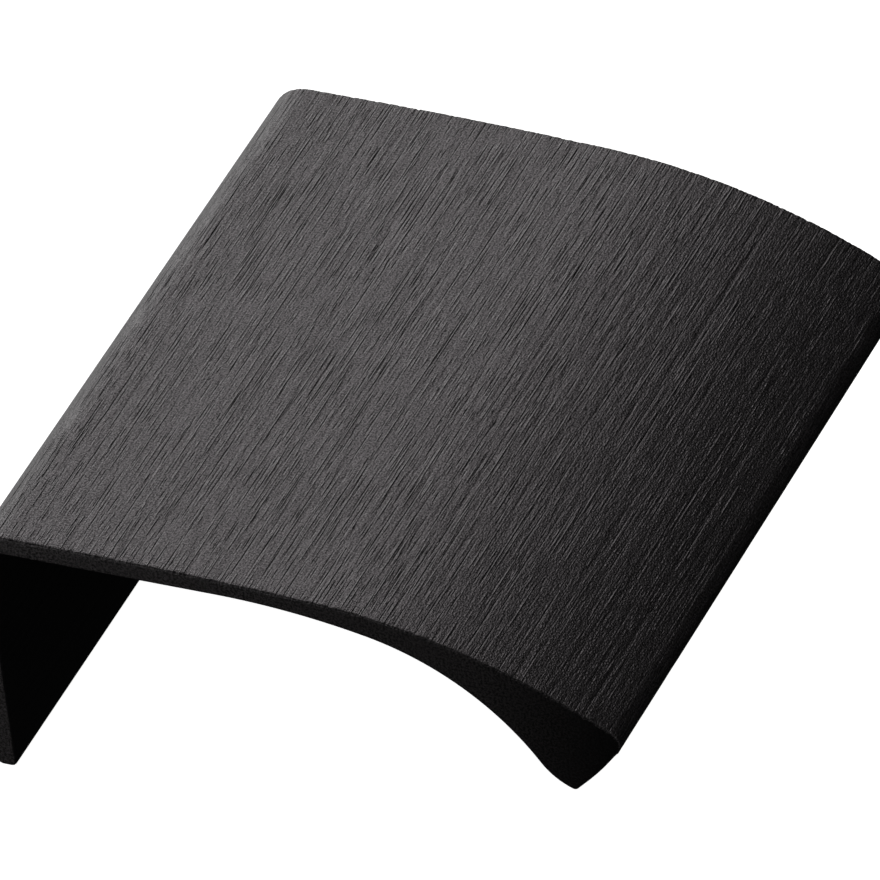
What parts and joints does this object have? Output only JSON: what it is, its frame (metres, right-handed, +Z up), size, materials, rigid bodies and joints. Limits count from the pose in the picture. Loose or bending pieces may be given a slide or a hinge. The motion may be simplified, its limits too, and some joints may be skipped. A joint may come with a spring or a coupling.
{
  "type": "tab pull",
  "caption": "Brushed black tab pull for the top edge of a drawer front: a thin plate that curves down to a thick finger lip, and a flange behind that takes the screws.",
  "frame": {"origin": "on the flange's front face, halfway between the two screw holes", "axes": "+X from the flange out towards the finger lip, +Y along the extrusion, +Z up, with the plate level"},
  "size_m": [0.0455, 0.05, 0.0194],
  "materials": {
    "black_anodised": "brushed along the length and black anodised, satin"
  },
  "bodies": {
    "root": {"tab_pull": "black_anodised"}
  },
  "joints": []
}
